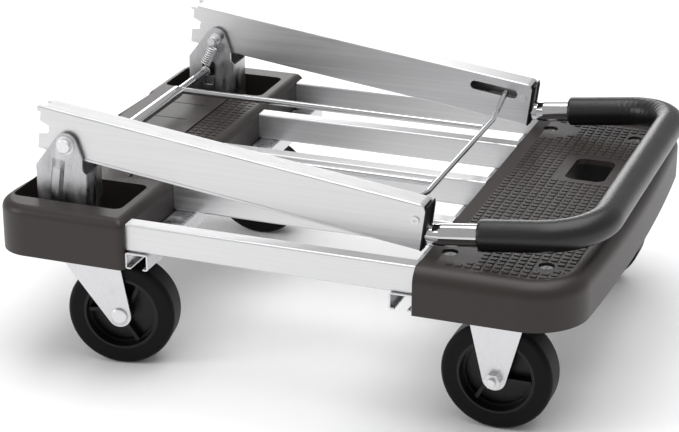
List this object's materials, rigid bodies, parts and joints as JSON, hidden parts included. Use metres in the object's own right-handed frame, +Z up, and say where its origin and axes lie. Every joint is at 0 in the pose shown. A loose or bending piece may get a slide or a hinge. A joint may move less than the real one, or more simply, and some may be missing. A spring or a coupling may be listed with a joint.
{
  "type": "folding platform cart",
  "caption": "Folding platform cart: open aluminium deck between plastic end pieces, swivel and fixed casters, and a U handle with foam grip that folds flat over the deck.",
  "frame": {"origin": "on the floor, under the middle of the folded cart's bounding box", "axes": "+X to the fixed casters and the folded grip, +Y to the left, +Z up"},
  "size_m": [0.7079, 0.566, 0.3108],
  "materials": {
    "aluminium_extrusion": "satin anodised",
    "galvanised_sheet": "zinc plated",
    "zinc_hardware": "zinc plated",
    "end_plastic": "fine grained",
    "tyre_rubber": "smooth",
    "hub_plastic": "satin",
    "black_nylon": "satin",
    "chrome_tube": "bright",
    "grip_foam": "closed-cell foam"
  },
  "bodies": {
    "deck": {"deck_rail_1": "aluminium_extrusion", "deck_rail_2": "aluminium_extrusion", "deck_rail_3": "aluminium_extrusion", "deck_rail_4": "aluminium_extrusion", "deck_rail_5": "aluminium_extrusion", "rail_rivets": "zinc_hardware", "cross_member_rear": "galvanised_sheet", "cross_member_front": "galvanised_sheet", "rear_end_piece": "end_plastic", "front_end_piece": "end_plastic", "front_deck_screws": "zinc_hardware", "front_deck_nuts": "zinc_hardware", "pivot_bracket_left": "galvanised_sheet", "pivot_bracket_right": "galvanised_sheet", "pivot_pins": "zinc_hardware", "rear_mount_bolts": "zinc_hardware", "rear_mount_nuts": "zinc_hardware", "swivel_plate_left": "galvanised_sheet", "swivel_plate_right": "galvanised_sheet", "kingpins": "zinc_hardware", "fixed_fork_left": "galvanised_sheet", "fixed_fork_right": "galvanised_sheet", "fixed_axle_bolts": "zinc_hardware", "fixed_axle_nuts": "zinc_hardware", "fixed_axle_sleeve_left": "zinc_hardware", "fixed_axle_sleeve_right": "zinc_hardware", "lock_spring_left": "zinc_hardware", "lock_spring_right": "zinc_hardware"},
    "handle": {"upright_left": "aluminium_extrusion", "upright_right": "aluminium_extrusion", "pivot_bushes": "black_nylon", "upright_end_cap_left": "black_nylon", "upright_end_cap_right": "black_nylon", "upright_screws": "zinc_hardware", "handle_tube": "chrome_tube", "foam_grip": "grip_foam"},
    "guides": {"bar_guides": "black_nylon"},
    "release_frame": {"lock_bar": "chrome_tube", "push_rod_left": "chrome_tube", "push_rod_right": "chrome_tube", "release_rod": "chrome_tube"},
    "swivel_left": {"swivel_fork_left": "galvanised_sheet", "swivel_balls_left": "zinc_hardware", "swivel_axle_left": "zinc_hardware", "swivel_axle_sleeve_left": "zinc_hardware"},
    "rear_wheel_left": {"swivel_tyre_left": "tyre_rubber", "swivel_hub_left": "hub_plastic"},
    "front_wheel_left": {"fixed_tyre_left": "tyre_rubber", "fixed_hub_left": "hub_plastic"},
    "swivel_right": {"swivel_fork_right": "galvanised_sheet", "swivel_balls_right": "zinc_hardware", "swivel_axle_right": "zinc_hardware", "swivel_axle_sleeve_right": "zinc_hardware"},
    "rear_wheel_right": {"swivel_tyre_right": "tyre_rubber", "swivel_hub_right": "hub_plastic"},
    "front_wheel_right": {"fixed_tyre_right": "tyre_rubber", "fixed_hub_right": "hub_plastic"}
  },
  "joints": [
    {"name": "handle_fold", "type": "hinge", "parent": "deck", "child": "handle", "pos_m": [-0.2765, 0, 0.269], "axis": [0, -1, 0], "range_deg": [0, 97.2]},
    {"name": "lock_slide", "type": "slide", "parent": "deck", "child": "guides", "axis": [0, 0, 1], "range_m": [0, 0.0125], "deforming": ["lock_spring_left", "lock_spring_right"]},
    {"name": "release_swing", "type": "hinge", "parent": "guides", "child": "release_frame", "pos_m": [-0.2875, 0, 0.2265], "axis": [0, -1, 0], "range_deg": [0, 89.51]},
    {"name": "swivel_turn_left", "type": "hinge", "parent": "deck", "child": "swivel_left", "pos_m": [-0.254, 0.215, 0.1355], "axis": [0, 0, 1], "continuous": true},
    {"name": "rear_wheel_spin_left", "type": "hinge", "parent": "swivel_left", "child": "rear_wheel_left", "pos_m": [-0.2219, 0.215, 0.064], "axis": [0, 1, 0], "continuous": true},
    {"name": "front_wheel_spin_left", "type": "hinge", "parent": "deck", "child": "front_wheel_left", "pos_m": [0.2374, 0.215, 0.064], "axis": [0, 1, 0], "continuous": true},
    {"name": "swivel_turn_right", "type": "hinge", "parent": "deck", "child": "swivel_right", "pos_m": [-0.254, -0.215, 0.1355], "axis": [0, 0, 1], "continuous": true},
    {"name": "rear_wheel_spin_right", "type": "hinge", "parent": "swivel_right", "child": "rear_wheel_right", "pos_m": [-0.22239, -0.20943, 0.064], "axis": [-0.1736, 0.9848, 0], "continuous": true},
    {"name": "front_wheel_spin_right", "type": "hinge", "parent": "deck", "child": "front_wheel_right", "pos_m": [0.2374, -0.215, 0.064], "axis": [0, 1, 0], "continuous": true}
  ],
  "couplings": [
    {"joint": "release_swing", "follows": "handle_fold", "ratio": 0.9208}
  ]
}
